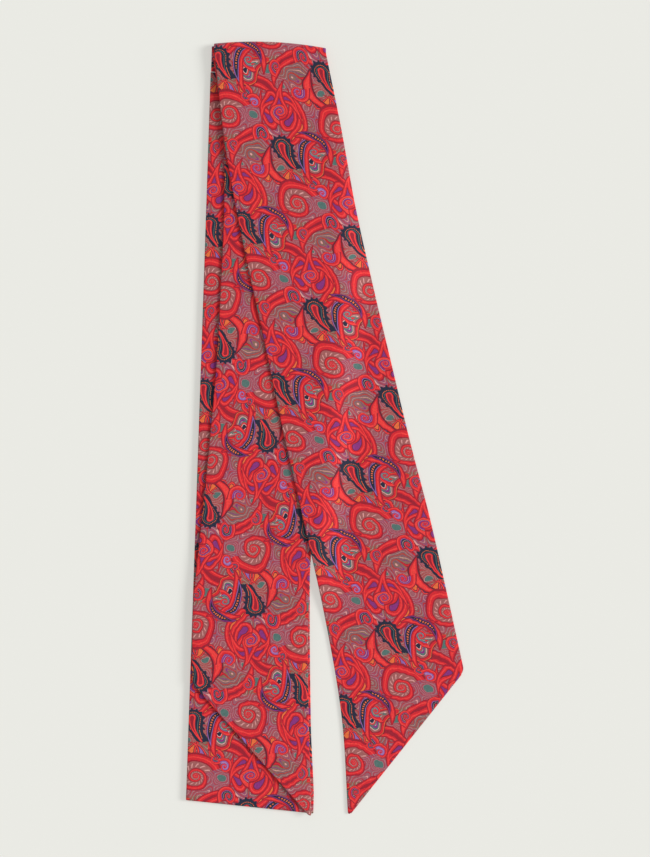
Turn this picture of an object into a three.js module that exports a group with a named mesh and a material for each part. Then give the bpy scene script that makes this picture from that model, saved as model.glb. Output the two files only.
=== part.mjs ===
// A narrow neck scarf: a flat tube of two plies of printed cloth, both ends cut on the slant,
// folded in half and in half again, and laid on a surface with its last tail swung to the right.
// Millimetres. +Z is up, +Y runs along the bundle towards its top folds, and the origin is under
// the middle of the whole folded scarf. From the surface up the passes are: back, band, inner, front.
import * as THREE from 'three';

// Driving sizes
const PASS = 1.0; // thickness of one pass, two plies pressed together
const AIR = 0.3; // gap between neighbouring passes
const LEVEL = PASS + AIR; // rise from one pass to the next
const LIP = 12; // how far a folded-over tail runs on below its fold, measured down the bundle
const CORNER = 2.4; // plan radius of the corners at the slanted ends
const END_ROLL = 0.4; // how far the thinned edge of a slanted end stands past the full thickness
const GROOVE = 3.2; // depth of the gap that shows between the two passes of the under stretch
const BACK_INSET = 1.0; // the back pass is this much narrower than the band at each side
const DRAPE = 18; // width over which the front tail comes down from the bundle to the surface
const LAND_FROM = -62; // from this Y the front tail is clear of the bundle and starts to land
const LAND_LENGTH = 48; // and this much further on it lies flat on the surface
const FOLD_BOW = 2.3; // the top folds bulge up this much at their middle
const BOW_MIDDLE = -29; // X of that middle
const BOW_HALF = 30.5; // half the width of the bulge
const BOW_FADE = 60; // the bulge dies out over this length of each pass
const MIDDLE_Y = 0.6; // the outlines below are drawn about a point this far below the box's middle
const LEAN = 0.0335; // the bundle's left edge moves this much left for each millimetre down

// Mesh steps
const ACROSS = 10; // panels across one pass
const ROUND = 4; // facets round a long edge
const TURN = 6; // facets round a fold
const STEP = 11; // length of one panel along a pass

// Plan outlines, by fraction of the way from the top fold (0) to the far end (1).
// The front tail ends in a slant that is long on its left, the inner tail one long on its right.
const FRONT_EDGES = [
  { at: 0.0, leftX: -58.0, leftY: 199.8, rightX: 0.7, rightY: 197.5 },
  { at: 0.125, leftX: -52.3, leftY: 149.5, rightX: 8.8, rightY: 157.5 },
  { at: 0.25, leftX: -43.1, leftY: 99.0, rightX: 16.2, rightY: 117.0 },
  { at: 0.375, leftX: -32.3, leftY: 49.5, rightX: 25.2, rightY: 76.5 },
  { at: 0.5, leftX: -21.9, leftY: -0.5, rightX: 34.9, rightY: 35.5 },
  { at: 0.625, leftX: -10.3, leftY: -51.0, rightX: 44.7, rightY: -5.5 },
  { at: 0.75, leftX: 0.6, leftY: -101.0, rightX: 55.2, rightY: -46.0 },
  { at: 0.875, leftX: 9.0, leftY: -151.5, rightX: 64.4, rightY: -86.5 },
  { at: 1.0, leftX: 12.3, leftY: -203.0, rightX: 73.2, rightY: -126.5 },
];
const INNER_EDGES = [
  { at: 0.0, leftX: -59.2, leftY: 199.8, rightX: 0.5, rightY: 197.5 },
  { at: 0.125, leftX: -53.3, leftY: 158.0, rightX: 5.5, rightY: 148.5 },
  { at: 0.25, leftX: -52.8, leftY: 116.5, rightX: 5.5, rightY: 98.0 },
  { at: 0.375, leftX: -54.5, leftY: 75.0, rightX: 3.4, rightY: 47.5 },
  { at: 0.5, leftX: -56.8, leftY: 33.5, rightX: -0.6, rightY: -2.5 },
  { at: 0.625, leftX: -60.5, leftY: -8.0, rightX: -6.2, rightY: -52.5 },
  { at: 0.75, leftX: -64.7, leftY: -49.5, rightX: -8.6, rightY: -103.0 },
  { at: 0.875, leftX: -68.8, leftY: -91.0, rightX: -8.3, rightY: -153.5 },
  { at: 1.0, leftX: -69.6, leftY: -132.5, rightX: -6.9, rightY: -203.6 },
];
const UNDER_EDGES = [
  { at: 0.0, leftX: -59.4, leftY: 199.8, rightX: 0.5, rightY: 197.5 },
  { at: 0.35, leftX: -64.0, leftY: 60.5, rightX: -4.0, rightY: 58.0 },
  { at: 0.66, leftX: -68.2, leftY: -62.0, rightX: -7.6, rightY: -65.5 },
  { at: 0.88, leftX: -71.2, leftY: -148.5, rightX: -7.2, rightY: -154.0 },
  { at: 0.97, leftX: -72.4, leftY: -184.0, rightX: -5.7, rightY: -189.5 },
  { at: 1.0, leftX: -72.8, leftY: -194.3, rightX: -5.9, rightY: -201.5 },
];
// The right-hand brink of the bundle, which the front tail drapes over.
const BRINK = [
  { at: 200, x: 2.0 },
  { at: 150, x: 7.5 },
  { at: 100, x: 7.5 },
  { at: 50, x: 5.5 },
  { at: 0, x: 1.5 },
  { at: -50, x: -4.5 },
  { at: -110, x: -6.0 },
  { at: -210, x: -6.0 },
];

const clamp01 = (v) => Math.min(1, Math.max(0, v));
const ease = (v) => clamp01(v) ** 2 * (3 - 2 * clamp01(v));
const mix = (a, b, f) => a + (b - a) * f;

// A smooth curve through a table: gives every named column at any value of the `at` column.
function through(rows) {
  const down = rows[0].at > rows.at(-1).at ? -1 : 1;
  const names = Object.keys(rows[0]).filter((name) => name !== 'at');
  const slope = (i, name) => {
    const a = rows[Math.max(i - 1, 0)];
    const b = rows[Math.min(i + 1, rows.length - 1)];
    return (b[name] - a[name]) / (b.at - a.at);
  };
  return (value) => {
    let i = rows.findIndex((row) => (row.at - value) * down > 0) - 1;
    if (i === -2) i = rows.length - 2;
    i = Math.max(i, 0);
    const [a, b] = [rows[i], rows[i + 1]];
    const span = b.at - a.at;
    const f = clamp01((value - a.at) / span);
    const found = {};
    for (const name of names) {
      const [s0, s1] = [slope(i, name) * span, slope(i + 1, name) * span];
      const [p0, p1] = [a[name], b[name]];
      found[name] = p0 + s0 * f + (3 * (p1 - p0) - 2 * s0 - s1) * f ** 2
        + (2 * (p0 - p1) + s0 + s1) * f ** 3;
    }
    return found;
  };
}

const frontEdges = through(FRONT_EDGES);
const innerEdges = through(INNER_EDGES);
const underEdges = through(UNDER_EDGES);
const brink = through(BRINK);

// How much of the full bundle height the front tail has at a place in plan.
function rise(x, y) {
  const past = x - brink(y).x;
  return (1 - ease(past / DRAPE)) * (1 - ease((LAND_FROM - y) / LAND_LENGTH));
}

// The flat section of one pass: [distance from its left edge, height above its middle].
function passSection(width, thick) {
  const r = thick / 2;
  const flat = width - thick;
  const points = [];
  for (let i = 0; i <= ACROSS; i++) points.push([r + (flat * i) / ACROSS, r]);
  for (let k = 1; k < ROUND; k++) {
    const a = (Math.PI * k) / ROUND;
    points.push([r + flat + r * Math.sin(a), r * Math.cos(a)]);
  }
  for (let i = ACROSS; i >= 0; i--) points.push([r + (flat * i) / ACROSS, -r]);
  for (let k = 1; k < ROUND; k++) {
    const a = (Math.PI * k) / ROUND;
    points.push([r - r * Math.sin(a), -r * Math.cos(a)]);
  }
  return points;
}

// The section of the under stretch: band above, back below, one solid apart from a groove each side.
function underSection(width) {
  const r = PASS / 2;
  const points = [];
  const [band, back] = [LEVEL, 0]; // heights of the two passes' middles above the back one's
  const roundTo = (centre, z, from) => {
    for (let k = 0; k <= ROUND; k++) {
      const a = from + (Math.PI * k) / ROUND;
      points.push([centre + r * Math.sin(a), z + r * Math.cos(a)]);
    }
  };
  for (let i = 1; i < ACROSS; i++) points.push([r + ((width - PASS) * i) / ACROSS, band + r]);
  roundTo(width - r, band, 0);
  points.push([width - GROOVE, band - r]);
  points.push([width - GROOVE, back + r]);
  roundTo(width - r - BACK_INSET, back, 0);
  for (let i = ACROSS - 1; i > 0; i--) points.push([r + ((width - PASS) * i) / ACROSS, back - r]);
  roundTo(r + BACK_INSET, back, Math.PI);
  points.push([GROOVE, back + r]);
  points.push([GROOVE, band - r]);
  roundTo(r, band, Math.PI);
  return points;
}

// Skins rings of equal length into one closed mesh. `flat` is their shared section, for the end caps.
function skin(rings, flat) {
  const count = flat.length;
  const positions = rings.flat().flatMap((p) => [p.x, p.y, p.z]);
  const index = [];
  for (let j = 0; j + 1 < rings.length; j++) {
    for (let i = 0; i < count; i++) {
      const [a, b] = [j * count + i, j * count + ((i + 1) % count)];
      index.push(a, b, b + count, a, b + count, a + count);
    }
  }
  const cap = THREE.ShapeUtils.triangulateShape(flat.map(([d, z]) => new THREE.Vector2(d, z)), []);
  const last = (rings.length - 1) * count;
  for (const [a, b, c] of cap) {
    index.push(a, b, c);
    index.push(c + last, b + last, a + last);
  }
  const geometry = new THREE.BufferGeometry();
  geometry.setAttribute('position', new THREE.Float32BufferAttribute(positions, 3));
  geometry.setIndex(index);
  return facingOut(geometry);
}

// Turns every triangle round if the mesh came out inside out.
function facingOut(geometry) {
  const p = geometry.getAttribute('position');
  const index = geometry.getIndex().array;
  const [a, b, c] = [new THREE.Vector3(), new THREE.Vector3(), new THREE.Vector3()];
  let volume = 0;
  for (let i = 0; i < index.length; i += 3) {
    a.fromBufferAttribute(p, index[i]);
    b.fromBufferAttribute(p, index[i + 1]);
    c.fromBufferAttribute(p, index[i + 2]);
    volume += a.dot(b.cross(c));
  }
  if (volume < 0) {
    for (let i = 0; i < index.length; i += 3) [index[i], index[i + 1]] = [index[i + 1], index[i]];
  }
  geometry.computeVertexNormals();
  return geometry;
}

// One row across a pass in plan: its two edges, pulled in near a slanted end to round the corners.
function planRow(edges, at, fromEnd) {
  const e = edges(at);
  const left = new THREE.Vector2(e.leftX, e.leftY);
  const right = new THREE.Vector2(e.rightX, e.rightY);
  const reach = Math.max(0, CORNER - fromEnd);
  const inset = CORNER - Math.sqrt(CORNER ** 2 - reach ** 2);
  const across = right.clone().sub(left).normalize().multiplyScalar(inset);
  return { left: left.add(across), right: right.sub(across), at };
}

// Fractions along a pass of the given length, with close rows where the slanted end rounds off.
function rowsAlong(length) {
  const steps = Math.round(length / STEP);
  const fractions = Array.from({ length: steps }, (_, i) => i / steps);
  const closeRows = [1, 0.5, 0.2, 0].map((part) => 1 - (part * CORNER) / length);
  return [...fractions, ...closeRows];
}

// Places one section point of a row, `lift` giving the height of the pass's middle there.
function place(row, distance, height, lift, bow) {
  const width = row.left.distanceTo(row.right);
  const f = distance / width;
  const x = mix(row.left.x, row.right.x, f);
  const bulge = Math.max(0, 1 - ((x - BOW_MIDDLE) / BOW_HALF) ** 2);
  const y = mix(row.left.y, row.right.y, f) + bow * bulge;
  return new THREE.Vector3(x, y, lift(x, y) + height);
}

// A row moved straight down the bundle, along its lean.
function below(row, down) {
  const move = new THREE.Vector2(-LEAN * down, -down);
  return { left: row.left.clone().add(move), right: row.right.clone().add(move) };
}

// A tail: a flat pass from its slanted end up to the top fold, round it, and on below as a lip.
// `level` counts passes up from the surface, `foldTo` is the pass that the fold leads down to.
function tail({ edges, length, level, foldTo, lift }) {
  const rings = [];
  const addRow = (row, thick, bow, rowLift, flip = 1) => {
    const width = row.left.distanceTo(row.right);
    rings.push(passSection(width, thick).map(([d, z]) => place(row, d, flip * z, rowLift, bow)));
  };
  const fractions = rowsAlong(length).reverse();
  const rolled = planRow(edges, 1, 0);
  const away = new THREE.Vector2().subVectors(rolled.left, planRow(edges, 0.98, CORNER).left);
  away.setLength(END_ROLL);
  addRow({ left: rolled.left.clone().add(away), right: rolled.right.clone().add(away) },
    PASS / 3, 0, lift);
  for (const at of fractions) {
    const fromFold = at * length;
    const bow = FOLD_BOW * (1 - ease(fromFold / BOW_FADE));
    addRow(planRow(edges, at, (1 - at) * length), PASS, bow, lift);
  }
  const [top, bottom] = [level * LEVEL + PASS / 2, foldTo * LEVEL + PASS / 2];
  const [radius, middle] = [(top - bottom) / 2, (top + bottom) / 2];
  const fold = planRow(edges, 0, length);
  const width = fold.left.distanceTo(fold.right);
  for (let k = 1; k < TURN; k++) {
    const a = (Math.PI * k) / TURN;
    rings.push(passSection(width, PASS).map(([d, z]) => {
      const p = place(fold, d, 0, () => middle, FOLD_BOW);
      p.y += (radius + z) * Math.sin(a);
      p.z += (radius + z) * Math.cos(a);
      return p;
    }));
  }
  for (const part of [0, 0.5, 1]) {
    addRow(below(fold, part * LIP), PASS, FOLD_BOW * (1 - ease(part)), () => bottom, -1);
  }
  return skin(rings, passSection(width, PASS));
}

// The back pass and the band, folded into each other at the bottom of the bundle.
function underStretch() {
  const rings = [];
  const middle = PASS + AIR / 2; // height halfway between the two passes
  const length = UNDER_EDGES[0].leftY - UNDER_EDGES.at(-1).leftY;
  const first = (LIP + AIR) / length;
  const nose = PASS + AIR / 2; // radius of the rounded bottom fold
  const last = 1 - nose / length;
  const steps = Math.round(length / (2 * STEP));
  const addRow = (row, squash, past) => {
    const width = row.left.distanceTo(row.right);
    rings.push(underSection(width).map(([d, z]) => {
      const p = place(row, d, 0, () => middle, 0);
      p.y -= past;
      p.z += (z + PASS / 2 - middle) * squash;
      return p;
    }));
  };
  addRow(below(planRow(underEdges, 0, length), LIP + AIR), 1, 0);
  for (let i = 1; i <= steps; i++) {
    addRow(planRow(underEdges, mix(first, last, i / steps), length), 1, 0);
  }
  const end = planRow(underEdges, last, length);
  for (const turn of [0.35, 0.65, 0.85]) {
    const a = (turn * Math.PI) / 2;
    addRow(end, Math.cos(a), nose * Math.sin(a));
  }
  return skin(rings, underSection(end.left.distanceTo(end.right)));
}

// Cloth
const PRINT = { color: 0xb8323a, roughness: 0.72, metalness: 0.0 };
const cloth = (name, geometry, tint) => {
  geometry.translate(0, -MIDDLE_Y, 0);
  const mesh = new THREE.Mesh(geometry, new THREE.MeshStandardMaterial({ ...PRINT, color: tint }));
  mesh.name = name;
  return mesh;
};

const scarf = new THREE.Group();
const height = (level) => level * LEVEL + PASS / 2; // of a pass's middle above the surface

scarf.add(cloth('front_tail', tail({
  edges: frontEdges,
  length: 372,
  level: 3,
  foldTo: 0,
  lift: (x, y) => PASS / 2 + 3 * LEVEL * rise(x, y),
}), 0xc23a3f));

scarf.add(cloth('inner_tail', tail({
  edges: innerEdges,
  length: 367,
  level: 2,
  foldTo: 1,
  lift: () => height(2),
}), 0xb03038));

scarf.add(cloth('under_stretch', underStretch(), 0xa52c35));

export default scarf;
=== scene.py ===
"""A narrow two-ply neck scarf in a paisley print, folded in four and laid on a pale surface.

Each stretch of the scarf is a hollow flat tube made along the same outlines as its solid.
The print is worked out in the cloth's own measures: how far round the tube, and how far along it."""
import math

import bmesh
import bpy
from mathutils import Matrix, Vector


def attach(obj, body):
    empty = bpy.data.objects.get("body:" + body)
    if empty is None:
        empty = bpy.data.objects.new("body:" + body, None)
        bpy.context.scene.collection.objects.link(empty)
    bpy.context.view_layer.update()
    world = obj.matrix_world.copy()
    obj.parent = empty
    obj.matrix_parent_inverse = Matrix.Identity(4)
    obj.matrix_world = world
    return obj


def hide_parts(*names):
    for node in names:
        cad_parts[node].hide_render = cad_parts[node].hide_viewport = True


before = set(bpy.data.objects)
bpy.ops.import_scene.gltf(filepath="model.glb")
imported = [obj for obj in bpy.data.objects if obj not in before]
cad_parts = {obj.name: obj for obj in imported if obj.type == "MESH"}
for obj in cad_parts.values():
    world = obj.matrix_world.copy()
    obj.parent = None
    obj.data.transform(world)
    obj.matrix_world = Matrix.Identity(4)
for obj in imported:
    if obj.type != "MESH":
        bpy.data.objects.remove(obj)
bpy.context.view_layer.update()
MM = 0.001

# ---- sizes of the folded scarf, in millimetres ----
PASS, AIR = 1.0, 0.3  # thickness of one pass, and the gap to the next
LEVEL = PASS + AIR
PLY = 0.28  # thickness of one ply
PLY_SHARE = 0.4  # the most of a thin section that one ply takes
FLAT_WIDTH = 63.0  # of the sewn tube
FRONT_LENGTH, INNER_LENGTH = 372.0, 367.0  # of a tail, from the top fold to its end
LIP = 12.0  # how far a tail goes on below its fold
CORNER = 2.4  # radius of a slanted end's corners
CORNER_STEPS = (1, 0.75, 0.5, 0.3, 0.15, 0.05, 0)  # rows from an end, in corner radii
CORNER_CLEAR = 1.2  # corner radii that the even rows keep clear of an end
END_ROLL = 0.4  # how far the closed end bulges
END_THICK = PASS / 3  # thickness at the closed end
NEAR_END = 0.98  # a fraction along from which an end's direction is taken
BACK_INSET, BACK_INSET_OVER = 1.0, 30.0  # how far in each edge of the back pass lies, and by when
MIDDLE_Y = 0.6
LEAN = 0.0335  # sideways for each millimetre down, of the lips

# ---- how the front tail comes down, and how the top folds bow ----
DRAPE = 18.0
LAND_FROM, LAND_LENGTH = -62.0, 48.0
FOLD_BOW, BOW_MIDDLE, BOW_HALF, BOW_FADE = 2.3, -29.0, 30.5, 60.0

# ---- mesh steps ----
ACROSS, ROUND, TURN = 26, 8, 14  # across a ply, round an edge, round a fold
STEP, BAND_STEP = 2.4, 3.36  # along a tail, and along the band
LIP_STEPS = 5
LENGTH_STEPS = 400  # for measuring an edge

# ---- where the print falls on each stretch, in millimetres ----
FACE_B_SHIFT = 5.5  # the far face's print, measured back from the folded edge
INNER_PHASE = 8.8
BAND_PHASE = -26.2

# Plan outlines: fraction from the top fold to the far end, then left x, left y, right x, right y.
FRONT_EDGES = [
    (0.0, -58.0, 199.8, 0.7, 197.5),
    (0.125, -52.3, 149.5, 8.8, 157.5),
    (0.25, -43.1, 99.0, 16.2, 117.0),
    (0.375, -32.3, 49.5, 25.2, 76.5),
    (0.5, -21.9, -0.5, 34.9, 35.5),
    (0.625, -10.3, -51.0, 44.7, -5.5),
    (0.75, 0.6, -101.0, 55.2, -46.0),
    (0.875, 9.0, -151.5, 64.4, -86.5),
    (1.0, 12.3, -203.0, 73.2, -126.5),
]
INNER_EDGES = [
    (0.0, -59.2, 199.8, 0.5, 197.5),
    (0.125, -53.3, 158.0, 5.5, 148.5),
    (0.25, -52.8, 116.5, 5.5, 98.0),
    (0.375, -54.5, 75.0, 3.4, 47.5),
    (0.5, -56.8, 33.5, -0.6, -2.5),
    (0.625, -60.5, -8.0, -6.2, -52.5),
    (0.75, -64.7, -49.5, -8.6, -103.0),
    (0.875, -68.8, -91.0, -8.3, -153.5),
    (1.0, -69.6, -132.5, -6.9, -203.6),
]
UNDER_EDGES = [
    (0.0, -59.4, 199.8, 0.5, 197.5),
    (0.35, -64.0, 60.5, -4.0, 58.0),
    (0.66, -68.2, -62.0, -7.6, -65.5),
    (0.88, -71.2, -148.5, -7.2, -154.0),
    (0.97, -72.4, -184.0, -5.7, -189.5),
    (1.0, -72.8, -194.3, -5.9, -201.5),
]
# Where the front tail starts to come down: y, then x.
BRINK = [
    (-210, -6.0),
    (-110, -6.0),
    (-50, -4.5),
    (0, 1.5),
    (50, 5.5),
    (100, 7.5),
    (150, 7.5),
    (200, 2.0),
]


# ---- curves ----
def ease(v):
    """A smooth step from 0 to 1."""
    v = min(1.0, max(0.0, v))
    return v * v * (3 - 2 * v)


def mix(a, b, f):
    return a + (b - a) * f


def through(rows):
    """A smooth curve through a table, by its first column."""

    def slope(i, c):
        a, b = rows[max(i - 1, 0)], rows[min(i + 1, len(rows) - 1)]
        return (b[c] - a[c]) / (b[0] - a[0])

    def value(at):
        i = max(0, min(len(rows) - 2, sum(row[0] <= at for row in rows) - 1))
        a, b = rows[i], rows[i + 1]
        span = b[0] - a[0]
        f = min(1.0, max(0.0, (at - a[0]) / span))
        found = []
        for c in range(1, len(a)):
            s0, s1, p0, p1 = slope(i, c) * span, slope(i + 1, c) * span, a[c], b[c]
            square = 3 * (p1 - p0) - 2 * s0 - s1
            cube = 2 * (p0 - p1) + s0 + s1
            found.append(p0 + s0 * f + square * f**2 + cube * f**3)
        return found

    return value


brink = through(BRINK)


def rise(x, y):
    """How much of the bundle's height the front tail has at a place in plan."""
    past = x - brink(y)[0]
    return (1 - ease(past / DRAPE)) * (1 - ease((LAND_FROM - y) / LAND_LENGTH))


def row_of(edges, at, from_end):
    """One row across a pass: its two edges in plan, pulled in near a slanted end."""
    lx, ly, rx, ry = edges(at)
    left, right = Vector((lx, ly)), Vector((rx, ry))
    reach = max(0.0, CORNER - from_end)
    inset = CORNER - math.sqrt(CORNER**2 - reach**2)
    across = (right - left).normalized() * inset
    return left + across, right - across


def below(row, down):
    move = Vector((-LEAN * down, -down))
    return row[0] + move, row[1] + move


def place(row, distance, bow=0.0):
    """Where a distance from a row's left edge lies in plan."""
    f = distance / (row[1] - row[0]).length
    x = mix(row[0].x, row[1].x, f)
    bulge = max(0.0, 1 - ((x - BOW_MIDDLE) / BOW_HALF) ** 2)
    return x, mix(row[0].y, row[1].y, f) + bow * bulge


def tail_fractions(length):
    """The rows along a tail, close together where its end's corners are rounded."""
    steps = round(length / STEP)
    even = [i / steps for i in range(steps)]
    near = [1 - p * CORNER / length for p in CORNER_STEPS]
    return [f for f in even if f < 1 - CORNER_CLEAR * CORNER / length] + near


def edge_lengths(edges):
    """Length along the left and right edge from the fold to a fraction, as a function."""
    rows = [edges(i / LENGTH_STEPS) for i in range(LENGTH_STEPS + 1)]
    left, right = [0.0], [0.0]
    for a, b in zip(rows, rows[1:]):
        left.append(left[-1] + math.hypot(b[0] - a[0], b[1] - a[1]))
        right.append(right[-1] + math.hypot(b[2] - a[2], b[3] - a[3]))

    def at(fraction):
        i = min(LENGTH_STEPS, round(fraction * LENGTH_STEPS))
        return left[i], right[i]

    return at


# ---- the tube ----
def section(width, thick):
    """The flat section, clockwise from the top left: distance from the left edge, and height."""
    r, flat, points = thick / 2, width - thick, []
    for i in range(ACROSS + 1):
        points.append((r + flat * i / ACROSS, r))
    for k in range(1, ROUND):
        a = math.pi * k / ROUND
        points.append((r + flat + r * math.sin(a), r * math.cos(a)))
    for i in range(ACROSS, -1, -1):
        points.append((r + flat * i / ACROSS, -r))
    for k in range(1, ROUND):
        a = math.pi * k / ROUND
        points.append((r - r * math.sin(a), -r * math.cos(a)))
    return points


class Strip:
    """Collects the rings of one stretch: an outer and an inner wall, with the print's measures."""

    def __init__(self):
        self.outer, self.inner, self.along = [], [], []

    def ring(self, row, thick, along, where):
        """`where` places (distance, height) of this row; `along` is the cloth's length at its two edges."""
        width = (row[1] - row[0]).length
        hollow = thick - 2 * min(PLY, thick * PLY_SHARE)
        for wall, t in ((self.outer, thick), (self.inner, hollow)):
            inset = (thick - t) / 2
            wall.append([where(d + inset, z) for d, z in section(width - 2 * inset, t)])
        self.along.append(along)


def tail(table, length, level, fold_to, lift):
    """A tail from its slanted end up to the top fold, round it, and on below as a lip."""
    edges, strip = through(table), Strip()
    lengths = edge_lengths(edges)
    top, bottom = level * LEVEL + PASS / 2, fold_to * LEVEL + PASS / 2

    def add(row, thick, bow, along, height, flip=1):
        def where(d, z):
            x, y = place(row, d, bow)
            return x, y - MIDDLE_Y, height(x, y) + flip * z

        strip.ring(row, thick, along, where)

    end = row_of(edges, 1, 0)
    away = (end[0] - row_of(edges, NEAR_END, CORNER)[0]).normalized() * END_ROLL
    add((end[0] + away, end[1] + away), END_THICK, 0, lengths(1), lift)
    for at in reversed(tail_fractions(length)):
        bow = FOLD_BOW * (1 - ease(at * length / BOW_FADE))
        add(row_of(edges, at, (1 - at) * length), PASS, bow, lengths(at), lift)
    radius, middle = (top - bottom) / 2, (top + bottom) / 2
    fold = row_of(edges, 0, length)
    for k in range(1, TURN):
        a = math.pi * k / TURN

        def where(d, z):
            x, y = place(fold, d, FOLD_BOW)
            return x, y + (radius + z) * math.sin(a) - MIDDLE_Y, middle + (radius + z) * math.cos(a)

        strip.ring(fold, PASS, (-a * radius, -a * radius), where)
    for k in range(LIP_STEPS + 1):
        part = k / LIP_STEPS
        s = -math.pi * radius - part * LIP
        add(below(fold, part * LIP), PASS, FOLD_BOW * (1 - ease(part)), (s, s), lambda x, y: bottom, -1)
    return strip


def under_stretch():
    """The band from the top down, round the bottom fold, and up again as the back pass."""
    edges, strip = through(UNDER_EDGES), Strip()
    lengths = edge_lengths(edges)
    length = UNDER_EDGES[0][2] - UNDER_EDGES[-1][2]
    radius, nose = LEVEL / 2, PASS + AIR / 2
    first, last = (LIP + AIR) / length, 1 - nose / length
    steps = round(length / BAND_STEP)
    ats = [mix(first, last, i / steps) for i in range(steps + 1)]
    rows = [below(row_of(edges, 0, length), LIP + AIR)]
    rows += [row_of(edges, at, length) for at in ats[1:]]

    def flat(row, middle, flip, inset):
        def where(d, z):
            x, y = place(row, d)
            x = mix(x, mix(row[0].x, row[1].x, 0.5), inset * 2 * BACK_INSET / FLAT_WIDTH)
            return x, y - MIDDLE_Y, middle + flip * z

        return where

    for row, at in zip(rows, ats):
        strip.ring(row, PASS, lengths(at), flat(row, LEVEL + PASS / 2, 1, 0))
    end, done = rows[-1], lengths(last)
    for k in range(1, TURN):
        a = math.pi * k / TURN

        def where(d, z):
            x, y = place(end, d)
            return x, y - (radius + z) * math.sin(a) - MIDDLE_Y, nose + (radius + z) * math.cos(a)

        strip.ring(end, PASS, (done[0] + a * radius, done[1] + a * radius), where)
    turned = math.pi * radius
    for row, at in zip(reversed(rows), reversed(ats)):
        left, right = lengths(at)
        along = (2 * done[0] - left + turned, 2 * done[1] - right + turned)
        inset = ease((1 - at) * length / BACK_INSET_OVER)
        strip.ring(row, PASS, along, flat(row, PASS / 2, -1, inset))
    return strip


def make_tube(name, strip, face_up, along_of):
    """Joins the rings of a strip into one closed body with the print's measures as its UV map."""
    count, rings = len(strip.outer[0]), len(strip.outer)
    bm = bmesh.new()
    uv = bm.loops.layers.uv.new("Print")
    outer = [[bm.verts.new(Vector(p) * MM) for p in ring] for ring in strip.outer]
    inner = [[bm.verts.new(Vector(p) * MM) for p in ring] for ring in strip.inner]
    half = ACROSS + ROUND  # the index of the right-hand edge's far side

    def share(i):
        """How far across, in cloth width, and whether on the ply that faces up."""
        if i <= ACROSS:
            return FLAT_WIDTH * i / ACROSS, True
        if i < half:
            return FLAT_WIDTH, i - ACROSS <= ROUND / 2
        if i <= half + ACROSS:
            return FLAT_WIDTH * (half + ACROSS - i) / ACROSS, False
        return 0.0, i - half - ACROSS > ROUND / 2

    def measure(i, j, upper):
        """The print's place, round the tube and along it, in metres."""
        d = share(i)[0]
        left, right = strip.along[j]
        s = along_of(mix(left, right, d / FLAT_WIDTH))
        return Vector(((d if upper == face_up else FACE_B_SHIFT - d) * MM, s * MM))

    def corner(wall, i, j):
        return wall[j][i % count], i % count, j

    def face(corners, upper, turned):
        corners = corners[::-1] if turned else corners
        made = bm.faces.new([v for v, _, _ in corners])
        made.smooth = True
        for loop, (_, i, j) in zip(made.loops, corners):
            loop[uv].uv = measure(i, j, upper)

    for wall, turned in ((outer, False), (inner, True)):
        for j in range(rings - 1):
            for i in range(count):
                near = [corner(wall, i, j), corner(wall, i + 1, j)]
                far = [corner(wall, i + 1, j + 1), corner(wall, i, j + 1)]
                face(near + far, share(i)[1], turned)
    for j, turned in ((0, False), (rings - 1, True)):
        for i in range(count):
            outside = [corner(outer, i + 1, j), corner(outer, i, j)]
            inside = [corner(inner, i, j), corner(inner, i + 1, j)]
            face(outside + inside, share(i)[1], turned)
    bmesh.ops.recalc_face_normals(bm, faces=bm.faces)
    mesh = bpy.data.meshes.new(name)
    bm.to_mesh(mesh)
    bm.free()
    piece = bpy.data.objects.new(name, mesh)
    bpy.context.scene.collection.objects.link(piece)
    return piece


def build_scarf():
    """The three stretches. The inner tail shows the cloth's other face, so its print runs the other way."""
    front_tail = tail(FRONT_EDGES, FRONT_LENGTH, 3, 0, lambda x, y: PASS / 2 + 3 * LEVEL * rise(x, y))
    inner_tail = tail(INNER_EDGES, INNER_LENGTH, 2, 1, lambda x, y: 2 * LEVEL + PASS / 2)
    band_top = UNDER_EDGES[0][2] + BAND_PHASE
    return (
        make_tube("front_tail_cloth", front_tail, True, lambda s: -s),
        make_tube("inner_tail_cloth", inner_tail, False, lambda s: s + INNER_PHASE),
        make_tube("under_stretch_cloth", under_stretch(), True, lambda s: band_top - s),
    )


# ---- shader maths ----
class Num:
    """A value socket with Python's operators."""

    def __init__(self, tree, socket):
        self.tree, self.socket = tree, socket

    def math(self, operation, *others, clamp=False):
        return maths(self.tree, operation, self, *others, clamp=clamp)

    def __add__(self, other):
        return self.math("ADD", other)

    __radd__ = __add__

    def __sub__(self, other):
        return self.math("SUBTRACT", other)

    def __rsub__(self, other):
        return maths(self.tree, "SUBTRACT", other, self)

    def __mul__(self, other):
        return self.math("MULTIPLY", other)

    __rmul__ = __mul__

    def __truediv__(self, other):
        return self.math("DIVIDE", other)

    def __abs__(self):
        return self.math("ABSOLUTE")

    def __gt__(self, other):
        return self.math("GREATER_THAN", other)

    def __lt__(self, other):
        return self.math("LESS_THAN", other)

    def sin(self):
        return self.math("SINE")

    def sqrt(self):
        return self.math("SQRT")

    def fract(self):
        return self.math("FRACT")

    def nearest(self):
        return (self + 0.5).math("FLOOR")

    def angle(self, x):
        return self.math("ARCTAN2", x)

    def most(self, other):
        return self.math("MAXIMUM", other)

    def clamp(self):
        return self.math("ADD", 0.0, clamp=True)


def maths(tree, operation, *values, clamp=False):
    settings = {"operation": operation, "use_clamp": clamp}
    return Num(tree, node(tree, "ShaderNodeMath", settings, dict(enumerate(values))).outputs[0])


def link(tree, value, slot):
    if isinstance(value, Num):
        tree.links.new(value.socket, slot)
    elif isinstance(value, bpy.types.NodeSocket):
        tree.links.new(value, slot)
    else:
        slot.default_value = value


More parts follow.
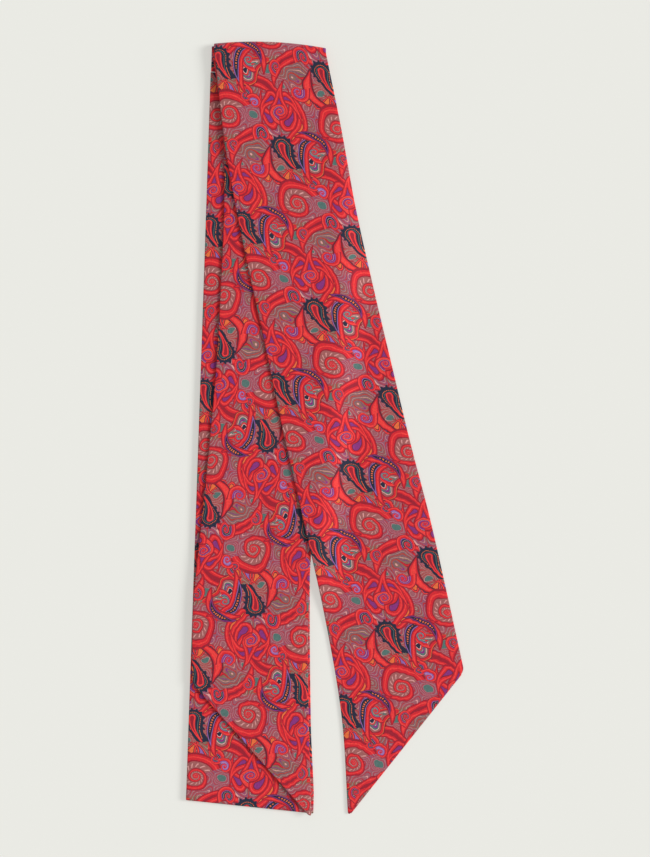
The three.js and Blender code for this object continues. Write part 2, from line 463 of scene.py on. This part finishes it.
def node(tree, kind, settings=None, sockets=None):
    """Any node: its settings and a ramp's stops first, then its sockets by name or number."""
    made = tree.nodes.new(kind)
    for name, value in (settings or {}).items():
        if name == "stops":
            set_stops(made.color_ramp, value)
        else:
            setattr(made, name, value)
    for name, value in (sockets or {}).items():
        link(tree, value, made.inputs[name])
    return made


def set_stops(ramp, stops):
    """A ramp of hard-edged bands. A new ramp already has two stops."""
    ramp.interpolation = "CONSTANT"
    for n, (position, colour) in enumerate(stops):
        point = ramp.elements[n] if n < 2 else ramp.elements.new(position)
        point.position, point.color = position, colour


def blend(tree, share, under, over):
    """A colour laid over another by a share from 0 to 1. A Mix node's colours are its sockets 6 and 7."""
    return node(tree, "ShaderNodeMix", {"data_type": "RGBA"}, {0: share, 6: under, 7: over}).outputs[2]


def noise(tree, at, scale, detail):
    sockets = {"Vector": at, "Scale": scale, "Detail": detail}
    return Num(tree, node(tree, "ShaderNodeTexNoise", {"noise_dimensions": "2D"}, sockets).outputs[0])


def shade(r, g, b):
    """A colour from 0-255 display values."""

    def channel(v):
        v /= 255
        return v / 12.92 if v <= 0.04045 else ((v + 0.055) / 1.055) ** 2.4

    return channel(r), channel(g), channel(b), 1.0


# ---- the print ----
INK = {
    "red": shade(222, 28, 42),
    "coral": shade(248, 64, 58),
    "crimson": shade(160, 14, 42),
    "rose": shade(166, 100, 94),
    "mauve": shade(160, 94, 108),
    "pink": shade(230, 170, 160),
    "cream": shade(236, 196, 182),
    "navy": shade(24, 34, 58),
    "purple": shade(138, 46, 128),
    "lilac": shade(150, 108, 180),
    "teal": shade(84, 122, 112),
    "orange": shade(240, 118, 56),
    "taupe": shade(134, 112, 90),
    "wine": shade(112, 22, 44),
}

REPEAT, COLUMN, DROP = 86.6, 28.6, 40.3  # along the cloth, round it, and each column's drop
PRINT_AT = (31.0, -55.6)  # the middle of one repeat, round and along the cloth
BAND_SPAN = 24.0  # the range of distances that a ramp of bands covers, both ways
CORE = -BAND_SPAN  # where a motif's innermost band starts
TURN_END = 10.02  # just past the tenth tenth of a scroll's turn
KNOB = 0.16  # a scroll's knob, in its radii
TUFT_SLANT, TUFT_GAP = 0.9, 0.72  # of the pale tufts inside the great scroll
TUFT_MIDDLE, TUFT_HALF = 2.6, 1.5  # where they stand, in tenths of a turn
END_CUT, END_OUT = 4.0, 0.02  # how sharply a crescent stops past its ends
LEAF = [
    (CORE, "purple"),
    (-2.5, "wine"),
    (-2.1, "red"),
    (-1.25, "coral"),
    (-0.6, "red"),
    (-0.15, "crimson"),
    (0.45, None),
]
RIBBON = [(CORE, "crimson"), (-2.0, "red"), (-1.2, "coral"), (-0.6, "red"), (-0.15, "crimson"), (0.45, None)]


class Print:
    """Lays motifs over a ground colour, all wrapped to the repeat."""

    def __init__(self, tree, across, along):
        self.tree, self.across, self.along = tree, across, along
        self.colour = None

    def wave(self, round_it, along_it, phase):
        """A sine that keeps to the repeat."""
        k = (round_it - along_it * DROP / REPEAT) / COLUMN * 2 * math.pi
        m = along_it / REPEAT * 2 * math.pi
        return (self.across * k + self.along * m + phase).sin()

    def local(self, at, turn=0.0):
        """Coordinates about a motif's middle, turned anticlockwise by `turn` degrees."""
        x = self.across - (PRINT_AT[0] + at[0])
        column = (x / COLUMN).nearest()
        x = x - column * COLUMN
        y = self.along - (PRINT_AT[1] + at[1]) - column * DROP
        y = y - (y / REPEAT).nearest() * REPEAT
        c, s = math.cos(math.radians(turn)), math.sin(math.radians(turn))
        return x * c + y * s, y * c - x * s

    def bands(self, distance, bands):
        """Paints bands by distance in millimetres, each with its start and an ink's name or None."""
        stops = []
        for start, ink in bands:
            position = min(1.0, max(0.0, 0.5 + start / BAND_SPAN))
            stops.append((position, (*INK[ink or "red"][:3], 1.0 if ink else 0.0)))
        at = (distance / BAND_SPAN + 0.5).clamp()
        ramp = node(self.tree, "ShaderNodeValToRGB", {"stops": stops}, {0: at})
        self.lay(ramp.outputs["Color"], Num(self.tree, ramp.outputs["Alpha"]))

    def lay(self, colour, mask):
        self.colour = blend(self.tree, mask, self.colour, colour)

    def ink(self, name, mask):
        self.lay(INK[name], mask)

    def drop(self, at, turn, radius, height, hook, bands, tip=0.0, edge=None, scallops=0.0, count=9):
        """A teardrop with its tip bent over, nested in bands, on a scalloped edge of one ink."""
        x, y = self.local(at, turn)
        up = y.most(0.0)
        x = x - up * up * hook
        t = (y / height).clamp()
        dy = y - t * height
        distance = (x * x + dy * dy).sqrt() - (1 - t * (1 - tip)) * radius
        if edge:
            self.bands(distance + (y.angle(x) * count).sin() * scallops, [(CORE, edge), (0.0, None)])
        self.bands(distance, bands)
        return distance

    def scroll(self, at, turn, radius, growth, bands, hand=1, tufts=0):
        """A ribbon that coils in to a round knob. Bands run outwards over one turn, in tenths."""
        x, y = self.local(at, turn)
        r, a = (x * x + y * y).sqrt(), y.angle(x)
        turns = (r / radius).math("LOGARITHM", math.e) / growth + a * (hand / (2 * math.pi))
        tenths = turns.fract() * 10
        self.bands(tenths + (turns > 0.0) * BAND_SPAN, [*bands, (TURN_END, None)])
        self.ink("red", r < radius * KNOB)
        if tufts:
            spokes = (a * tufts + tenths * TUFT_SLANT).sin() > TUFT_GAP
            self.ink("pink", spokes * (abs(tenths - TUFT_MIDDLE) < TUFT_HALF) * (turns < 0.0))

    def crescent(self, at, turn, radius, half_width, reach, bands, dashes=None):
        """A curved leaf, widest at its middle, along an arc about a point off to one side."""
        x, y = self.local(at, turn)
        x = x + radius
        r, a = (x * x + y * y).sqrt(), y.angle(x)
        part = a * (radius / reach)
        distance = abs(r - radius) - (1 - part * part).most(0.0) * half_width
        # past its two ends the leaf is gone
        past = (abs(a) * radius - reach).most(0.0)
        self.bands(distance + past * END_CUT + END_OUT, bands)
        if dashes:
            pitch, within, name = dashes
            beat = (a * (radius / pitch * 2 * math.pi)).sin() > 0.0
            self.ink(name, beat * (distance < within))


def paint_ground(p):
    """Dusty rose and mauve with taupe patches, pale veins, crimson lines and a few teal spots."""
    p.colour = blend(p.tree, p.wave(1, 2, 0.4) * 0.5 + 0.5, INK["rose"], INK["mauve"])
    p.ink("taupe", (p.wave(2, 3, 5.0) + p.wave(1, 3, 1.0) > 0.8) * 0.85)
    field = p.wave(2, 3, 0.0) + p.wave(4, 5, 2.0) * 0.8 + p.wave(1, 5, 1.0) * 0.8
    field = field + p.wave(6, 7, 3.0) * 0.45 + p.wave(1, 7, 3.0) * 0.4
    contour = abs((field * 1.15).fract() - 0.5)  # 0 on a vein, 0.5 half-way to the next
    p.ink("crimson", contour > 0.41)
    p.ink("red", contour > 0.46)
    p.ink("pink", contour < 0.034)
    p.ink("purple", (abs(contour - 0.22) < 0.03) * (p.wave(1, 3, 2.0) > 0.0))
    p.ink("teal", field > 2.2)


def paint_comb(p):
    """A comb of small hooked leaves behind the great scroll."""
    for n in range(5):
        at = (-11.5 + 5.4 * n, -12.6 - 1.2 * (n % 2))
        core = "lilac" if n % 2 else "orange"
        bands = [(CORE, core), (-1.2, "wine"), (-0.8, "coral"), (-0.2, "crimson"), (0.15, None)]
        p.drop(at, turn=18 * n - 40, radius=2.3, height=7.5, hook=0.10 * (-1) ** n, bands=bands)


def paint_ribbons(p):
    """Wide red ribbons that sweep between the motifs."""
    flame = [(CORE, "orange"), (-2.4, "crimson"), *RIBBON[1:]]
    plain = [(CORE, "coral"), (-1.4, "red"), (-0.7, "wine"), (0.1, None)]
    p.crescent((-7, 37), turn=66, radius=17, half_width=3.2, reach=21, bands=RIBBON)
    p.crescent((10, 13), turn=-30, radius=14, half_width=2.8, reach=18, bands=flame)
    p.crescent((-9, -8), turn=205, radius=13, half_width=2.6, reach=16, bands=plain)
    p.crescent((9, -37), turn=116, radius=16, half_width=2.7, reach=18, bands=RIBBON)


def paint_great_scroll(p):
    """The great scroll round its own piece of ground."""
    bands = [(CORE, "rose"), (5.2, "crimson"), (6.0, "red"), (7.3, "coral"), (7.9, "red"), (9.0, "crimson")]
    p.scroll((1.2, -25.5), turn=200, radius=9.6, growth=0.85, bands=bands, tufts=15)


def paint_leaves(p):
    """Curling leaves that spring from one stem, with a small scroll at the stem."""
    for at, turn, radius, height, hook in (
        ((-4.5, 17.5), 52, 3.9, 13.5, 0.055),
        ((4.5, 17.0), -46, 3.9, 14, -0.055),
        ((-3.6, 29.5), 118, 3.6, 12, -0.07),
        ((4.6, 29.0), -112, 3.5, 12, 0.07),
        ((0.2, 22.5), 6, 4.4, 15.5, 0.028),
    ):
        p.drop(at, turn, radius, height, hook, LEAF)
    bands = [(CORE, "purple"), (3.4, "pink"), (4.0, "wine"), (5.0, "coral"), (8.6, "crimson")]
    p.scroll((0.4, 21.4), turn=90, radius=3.9, growth=0.9, bands=bands, hand=-1)


def paint_fan(p):
    """The fan-shaped drop with its banded heart."""
    fan = [
        (CORE, "taupe"),
        (-5.0, "cream"),
        (-4.75, "purple"),
        (-4.0, "teal"),
        (-3.3, "cream"),
        (-3.05, "rose"),
        (-2.2, "crimson"),
        (-1.7, "red"),
        (-0.7, "orange"),
        (-0.45, "wine"),
        (0.0, None),
    ]
    heart = [(CORE, "navy"), (-1.2, "cream"), (-0.9, "red"), (-0.2, "teal"), (0.2, None)]
    p.drop(
        (13.4, -5), turn=-40, radius=6.2, height=19, hook=0.03, bands=fan,
        edge="crimson", scallops=0.5, count=17)
    p.drop((12.6, -4.2), turn=-46, radius=2.2, height=9, hook=0.04, bands=heart)


def paint_curls(p):
    """Small curls: place, turn, radius and the ink of the core."""
    for at, turn, radius, core in (
        ((-10.2, 10.5), 30, 4.0, "navy"),
        ((12.6, 32.5), 200, 4.4, "purple"),
        ((-12.2, -39.0), 120, 3.6, "teal"),
        ((11.6, -15.5), 260, 3.2, "navy"),
        ((-12.2, 26.5), 320, 3.2, "lilac"),
        ((2.5, -41.5), 80, 3.1, "wine"),
    ):
        bands = [
            (CORE, core),
            (2.2, "cream"),
            (2.7, core),
            (4.6, "lilac"),
            (5.3, "crimson"),
            (6.0, "red"),
            (7.8, "coral"),
            (9.2, "crimson"),
        ]
        p.scroll(at, turn, radius, growth=1.15, bands=bands, hand=-1)


def paint_crescents(p):
    """Long navy crescents with gold dashes, each on a wider ribbon."""
    for at, turn, radius, half_width, reach, rim in (
        ((9.4, 3.4), 152, 15, 1.9, 14, "lilac"),
        ((-9.5, -31), 48, 12, 1.6, 11, "purple"),
    ):
        p.crescent((at[0] + 1.4, at[1] - 1.6), turn, radius, half_width + 0.4, reach + 3, RIBBON)
        bands = [(CORE, "navy"), (-0.5, rim), (-0.15, "wine"), (0.1, None)]
        p.crescent(at, turn, radius, half_width, reach, bands, dashes=(1.5, 0.55 - half_width, "orange"))


def paint_dark_drop(p):
    """A dark drop with a scalloped edge, an orange dotted line and a red hook down the heart."""
    at, turn = (-1.0, 4.4), 184
    outline = p.drop(
        at, turn, radius=6.0, height=11.0, hook=-0.030, bands=[(CORE, "navy"), (-0.3, None)],
        tip=0.42, edge="navy", scallops=0.85, count=13)
    x, y = p.local(at, turn)
    p.ink("orange", ((y.angle(x) * 26).sin() > -0.5) * (abs(outline + 2.0) < 0.16))
    p.ink("teal", abs(outline + 3.0) < 0.14)
    hook = [(CORE, "crimson"), (-0.9, "coral"), (-0.35, "red"), (0.0, "navy"), (0.2, None)]
    p.drop((-1.3, 5.2), turn=172, radius=1.9, height=12.0, hook=-0.045, bands=hook, tip=0.35)


def paint_print(tree, across, along):
    """The whole print, from the ground up, on a cloth whose measures waver slightly."""
    p = Print(tree, across, along)
    p.across = across + p.wave(2, 3, 0.3) * 0.6 + p.wave(4, 5, 4.0) * 0.3
    p.along = along + p.wave(1, 3, 2.2) * 0.6 + p.wave(1, 5, 0.7) * 0.3
    for paint in (
        paint_ground, paint_comb, paint_ribbons, paint_great_scroll, paint_leaves,
        paint_fan, paint_curls, paint_crescents, paint_dark_drop,
    ):
        paint(p)
    return p.colour


# ---- the cloth ----
TWILL_PITCH = 0.62
FLECK_SCALE, RIPPLE_SCALE = 1.1, 0.06
CAST = (1.0, 0.9, 0.97)  # of the dyed cloth, on red, green and blue
BUMP_STRENGTH, BUMP_HEIGHT = 0.35, 0.0002


def cloth_material():
    """Printed twill: the print, taken unevenly by the yarns, on a matt and slightly rippled cloth."""
    material = bpy.data.materials.new("printed twill")
    material.use_nodes = True
    tree = material.node_tree
    tree.nodes.clear()
    uv = node(tree, "ShaderNodeUVMap", {"uv_map": "Print"})
    parts = node(tree, "ShaderNodeSeparateXYZ", sockets={"Vector": uv.outputs[0]})
    across, along = (Num(tree, parts.outputs[name]) * (1 / MM) for name in ("X", "Y"))
    colour = paint_print(tree, across, along)
    twill = ((across + along) * (2 * math.pi / TWILL_PITCH)).sin()
    in_mm = node(tree, "ShaderNodeCombineXYZ", sockets={"X": across, "Y": along}).outputs[0]
    flecks = noise(tree, in_mm, FLECK_SCALE, 2.0)
    ripple = noise(tree, in_mm, RIPPLE_SCALE, 1.0)
    tone = flecks * 0.53 + twill * 0.06 + 0.585
    cast = node(tree, "ShaderNodeCombineXYZ", sockets={n: tone * v for n, v in enumerate(CAST)})
    inked = node(
        tree, "ShaderNodeVectorMath", {"operation": "MULTIPLY"}, {0: colour, 1: cast.outputs[0]})
    height = twill * 0.5 + flecks + ripple * 4
    bump = node(
        tree, "ShaderNodeBump",
        sockets={"Strength": BUMP_STRENGTH, "Distance": BUMP_HEIGHT, "Height": height})
    skin = node(tree, "ShaderNodeBsdfPrincipled", sockets={
        "Base Color": inked.outputs[0],
        "Roughness": flecks * 0.12 + 0.66,
        "Normal": bump.outputs[0],
        "Sheen Weight": 0.12,
        "Sheen Roughness": 0.5,
        "Specular IOR Level": 0.3,
    })
    node(tree, "ShaderNodeOutputMaterial", sockets={"Surface": skin.outputs[0]})
    return material


# ---- floor, light and camera, in metres ----
FLOOR_SIZE, FLOOR_GAP = 6, 0.0003  # its side, and how far it lies under the scarf
FLOOR = shade(232, 232, 226)
FLOOR_GLOW = 0.6  # the part of its light that doesn't depend on the lamps, which keeps the shadows faint
SKY, SUN = 0.52, 3.18
SUN_FROM, SUN_SPREAD = (0.95, 0.12, 0.58), 22  # direction, and width in degrees
FRAME_HEIGHT = 0.450  # what the picture takes in, top to bottom
EYE_AT = (0.0002, 0, 2.0)
SENSOR = 24.0


def lay_floor():
    bpy.ops.object.select_all(action="DESELECT")
    bpy.ops.mesh.primitive_plane_add(size=FLOOR_SIZE, location=(0, 0, -FLOOR_GAP))
    floor = bpy.context.object
    floor.name = "floor"
    paper = bpy.data.materials.new("pale paper")
    paper.use_nodes = True
    skin = paper.node_tree.nodes["Principled BSDF"]
    for name, value in (
        ("Base Color", tuple(v * (1 - FLOOR_GLOW) for v in FLOOR[:3]) + (1.0,)),
        ("Roughness", 0.9),
        ("Specular IOR Level", 0.1),
        ("Emission Color", FLOOR),
        ("Emission Strength", FLOOR_GLOW),
    ):
        skin.inputs[name].default_value = value
    floor.data.materials.append(paper)


def light_and_camera():
    world = bpy.data.worlds.new("studio")
    bpy.context.scene.world = world
    world.use_nodes = True
    sky = world.node_tree.nodes["Background"]
    sky.inputs["Color"].default_value = (1, 1, 1, 1)
    sky.inputs["Strength"].default_value = SKY
    lamp = bpy.data.lights.new("window", "SUN")
    lamp.energy, lamp.angle = SUN, math.radians(SUN_SPREAD)
    sun = bpy.data.objects.new("window", lamp)
    sun.rotation_euler = Vector(SUN_FROM).to_track_quat("Z", "Y").to_euler()
    bpy.context.scene.collection.objects.link(sun)
    lens = bpy.data.cameras.new("camera")
    lens.sensor_fit, lens.sensor_height = "VERTICAL", SENSOR
    lens.lens = EYE_AT[2] * SENSOR / FRAME_HEIGHT
    camera = bpy.data.objects.new("camera", lens)
    camera.location = EYE_AT
    bpy.context.scene.collection.objects.link(camera)
    bpy.context.scene.camera = camera
    bpy.context.scene.view_settings.view_transform = "Standard"


NODES_AND_LENGTHS = (("front_tail", 0.392), ("inner_tail", 0.385), ("under_stretch", 0.772))

scarf = build_scarf()
printed = cloth_material()
for piece, (cad_node, along) in zip(scarf, NODES_AND_LENGTHS):
    piece.data.materials.append(printed)
    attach(piece, "root")
    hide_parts(cad_node)
lay_floor()
light_and_camera()
